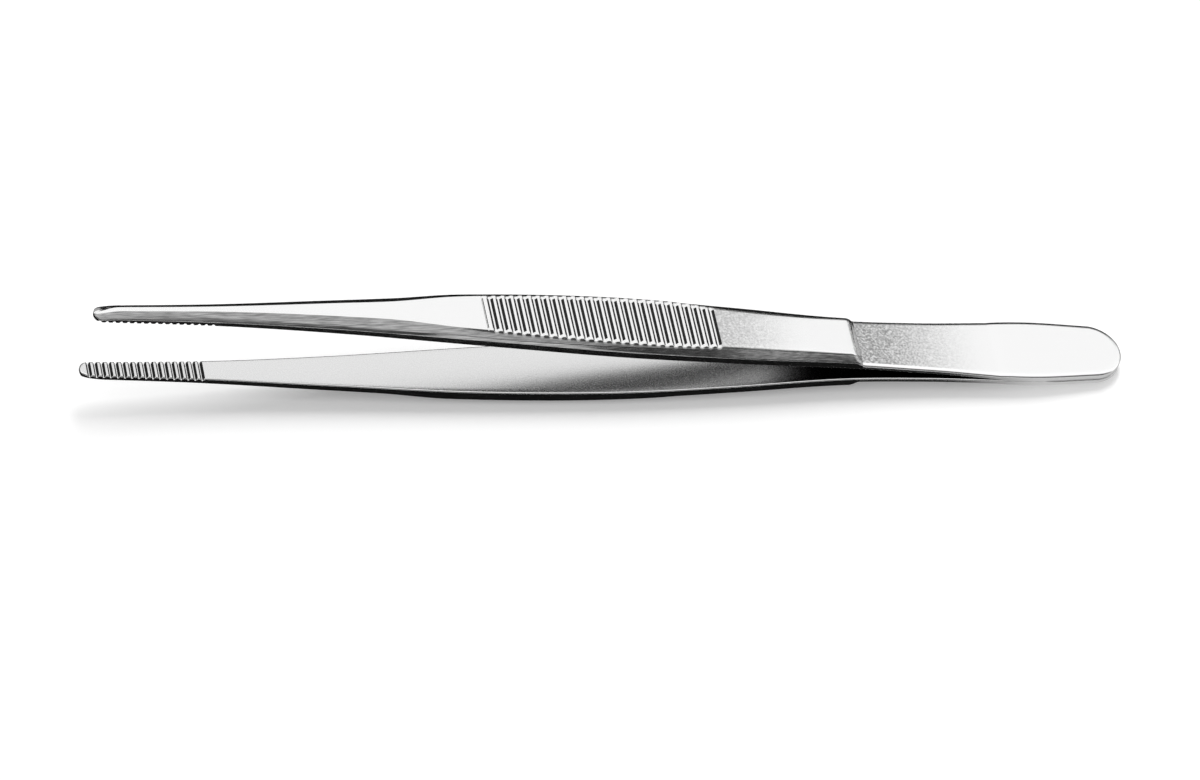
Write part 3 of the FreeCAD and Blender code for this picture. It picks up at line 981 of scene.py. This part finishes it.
def flat_sheet(name, left, right, front, back, height, material):
    """Level rectangle between these four sides."""
    corners = [(left, front), (right, front), (right, back), (left, back)]
    mesh = bpy.data.meshes.new(name)
    mesh.from_pydata([(x, y, height) for x, y in corners], [], [range(len(corners))])
    mesh.materials.append(material)
    sheet = bpy.data.objects.new(name, mesh)
    scene.collection.objects.link(sheet)
    return sheet


def empty_material(name):
    """Material without nodes, and its node tree."""
    material = bpy.data.materials.new(name)
    material.use_nodes = True
    material.node_tree.nodes.clear()
    return material, material.node_tree


def floor_material():
    """Pale diffuse floor, lifted to white for the camera and in mirrors."""
    material, tree = empty_material("pale floor")
    rays = add(tree, "ShaderNodeLightPath").outputs
    seen = sum_of(tree, "ShaderNodeMath", "MAXIMUM", rays["Is Camera Ray"], rays["Is Glossy Ray"])
    seen = sum_of(tree, "ShaderNodeMath", "MAXIMUM", seen, rays["Is Transmission Ray"])
    lift = sum_of(tree, "ShaderNodeMath", "MULTIPLY", seen, FLOOR_LIFT)
    diffuse = add(tree, "ShaderNodeBsdfDiffuse", grey(FLOOR_GREY))
    glow = add(tree, "ShaderNodeEmission", grey(1.0), lift)
    both = add(tree, "ShaderNodeAddShader", diffuse.outputs[0], glow.outputs[0])
    add(tree, "ShaderNodeOutputMaterial", both.outputs[0])
    return material


def white_card_material():
    """White card."""
    material, tree = empty_material("white card")
    glow = add(tree, "ShaderNodeEmission", grey(1.0), 1.0)
    add(tree, "ShaderNodeOutputMaterial", glow.outputs[0])
    return material


def card_material():
    """Black card, which grows paler in front of the heel."""
    material, tree = empty_material("black card")
    place = add(tree, "ShaderNodeSeparateXYZ", add(tree, "ShaderNodeTexCoord").outputs["Object"])
    paler = add(tree, "ShaderNodeMapRange", place.outputs[0], CARD_PALE_FROM, CARD_PALE_TO, 0.0, 1.0,
                interpolation_type="SMOOTHSTEP")
    in_front = sum_of(tree, "ShaderNodeMath", "LESS_THAN", place.outputs[1], 0.0)
    pale = sum_of(tree, "ShaderNodeMath", "MULTIPLY", paler.outputs[0], in_front)
    glow = add(tree, "ShaderNodeEmission", grey(1.0), mix_numbers(tree, pale, CARD_GREY, CARD_PALE_GREY))
    add(tree, "ShaderNodeOutputMaterial", glow.outputs[0])
    return material


def seen_only_in_mirrors(sheet):
    """Hide an object from the camera, from shadows and from diffuse light."""
    sheet.visible_camera = False
    sheet.visible_diffuse = False
    sheet.visible_shadow = False
    sheet.visible_transmission = False
    sheet.visible_volume_scatter = False


floor = flat_sheet("floor", -FLOOR_REACH, FLOOR_REACH, -FLOOR_REACH, FLOOR_REACH, -FLOOR_DROP,
                   floor_material())
card = flat_sheet("black_card", CARD_LEFT, CARD_RIGHT, CARD_FRONT, CARD_BACK, -CARD_DROP, card_material())
seen_only_in_mirrors(card)
white_card = flat_sheet("white_card", WHITE_CARD_LEFT, WHITE_CARD_RIGHT, WHITE_CARD_FRONT,
                        WHITE_CARD_BACK, -CARD_DROP / 2, white_card_material())
seen_only_in_mirrors(white_card)
print("stage", ", ".join(sheet.name for sheet in (floor, card, white_card)))

# %% [markdown]
# ## The world
# The camera sees a white backdrop, and the floor gets soft grey light from all round. In
# mirrors the world is a white tent with three dark bands: one high in front, which shades the
# bevels, one low behind, which draws the far edges, and one close to the ground at the side.

# %% World
AMBIENT = 0.66
TENT_WHITE = 1.05
DARK_GREY = 0.12
FRONT_BAND_UP = (math.sin(math.radians(61)), math.sin(math.radians(47.5)))
FRONT_BAND_BACK = (-0.24, -0.34)
BACK_BAND_UP = (math.sin(math.radians(34)), math.sin(math.radians(29)))
BACK_BAND_BACK = (0.68, 0.8)
SIDE_BAND_UP = (0.17, 0.08)
SIDE_BAND_BACK = (0.3, 0.5)


def studio_world():
    """White to the camera, soft grey light for the floor, and a tent with dark bands in mirrors."""
    world = bpy.data.worlds.new("studio")
    world.use_nodes = True
    tree = world.node_tree
    tree.nodes.clear()

    def share(value, start, end):
        ramp = add(tree, "ShaderNodeMapRange", value, start, end, 0.0, 1.0,
                   interpolation_type="SMOOTHSTEP")
        return ramp.outputs[0]

    def band(up, back):
        return sum_of(tree, "ShaderNodeMath", "MULTIPLY", share(parts[2], *up), share(parts[1], *back))

    rays = add(tree, "ShaderNodeLightPath").outputs
    direction = add(tree, "ShaderNodeTexCoord").outputs["Generated"]
    parts = add(tree, "ShaderNodeSeparateXYZ", direction).outputs
    dark_front = band(FRONT_BAND_UP, FRONT_BAND_BACK)
    dark_back = band(BACK_BAND_UP, BACK_BAND_BACK)
    dark_side = band(SIDE_BAND_UP, SIDE_BAND_BACK)
    dark_back = sum_of(tree, "ShaderNodeMath", "MAXIMUM", dark_back, dark_side)
    tent = mix_numbers(tree, dark_front, TENT_WHITE, DARK_GREY)
    tent = mix_numbers(tree, dark_back, tent, CARD_GREY)
    mirror = sum_of(tree, "ShaderNodeMath", "MAXIMUM", rays["Is Glossy Ray"],
                    rays["Is Transmission Ray"])
    level = mix_numbers(tree, mirror, AMBIENT, tent)
    level = mix_numbers(tree, rays["Is Camera Ray"], level, 1.0)
    sky = add(tree, "ShaderNodeBackground", grey(1.0), level)
    add(tree, "ShaderNodeOutputWorld", sky.outputs[0])
    return world


scene.world = studio_world()
print("world", scene.world.name)

# %% [markdown]
# ## Lamps
# One large softbox stands behind the forceps and above it. It lays the soft shadow in front,
# towards the camera. What the steel shows is the tent round it, so the lamp itself is hidden
# from mirrors. The upper arm is kept out of its shadows, so that only one pale band of shadow
# lies along the lower arm, as in the photograph.

# %% Key lamp
KEY_WIDTH = 0.3
KEY_HEIGHT = 0.55
KEY_POWER = 4.1
KEY_DISTANCE = 0.8
KEY_AZIMUTH = math.radians(10)
KEY_ELEVATION = math.radians(45)

key_data = bpy.data.lights.new("key", "AREA")
key_data.shape = "RECTANGLE"
key_data.size = KEY_WIDTH
key_data.size_y = KEY_HEIGHT
key_data.energy = KEY_POWER
key = bpy.data.objects.new("key", key_data)
key_level = math.cos(KEY_ELEVATION)
key_way = Vector((math.sin(KEY_AZIMUTH) * key_level, math.cos(KEY_AZIMUTH) * key_level,
                  math.sin(KEY_ELEVATION)))
key.location = key_way * KEY_DISTANCE
key.rotation_mode = "QUATERNION"
key.rotation_quaternion = key_way.to_track_quat("Z", "Y")
key.visible_glossy = False
scene.collection.objects.link(key)
open_arm = bpy.data.collections.new("casts no shadow of the key")
open_arm.objects.link(upper_skin)
key.light_linking.blocker_collection = open_arm
open_arm.collection_objects[0].light_linking.link_state = "EXCLUDE"

scene.view_settings.view_transform = "Standard"
print("key lamp at", [round(value, 3) for value in key.location])
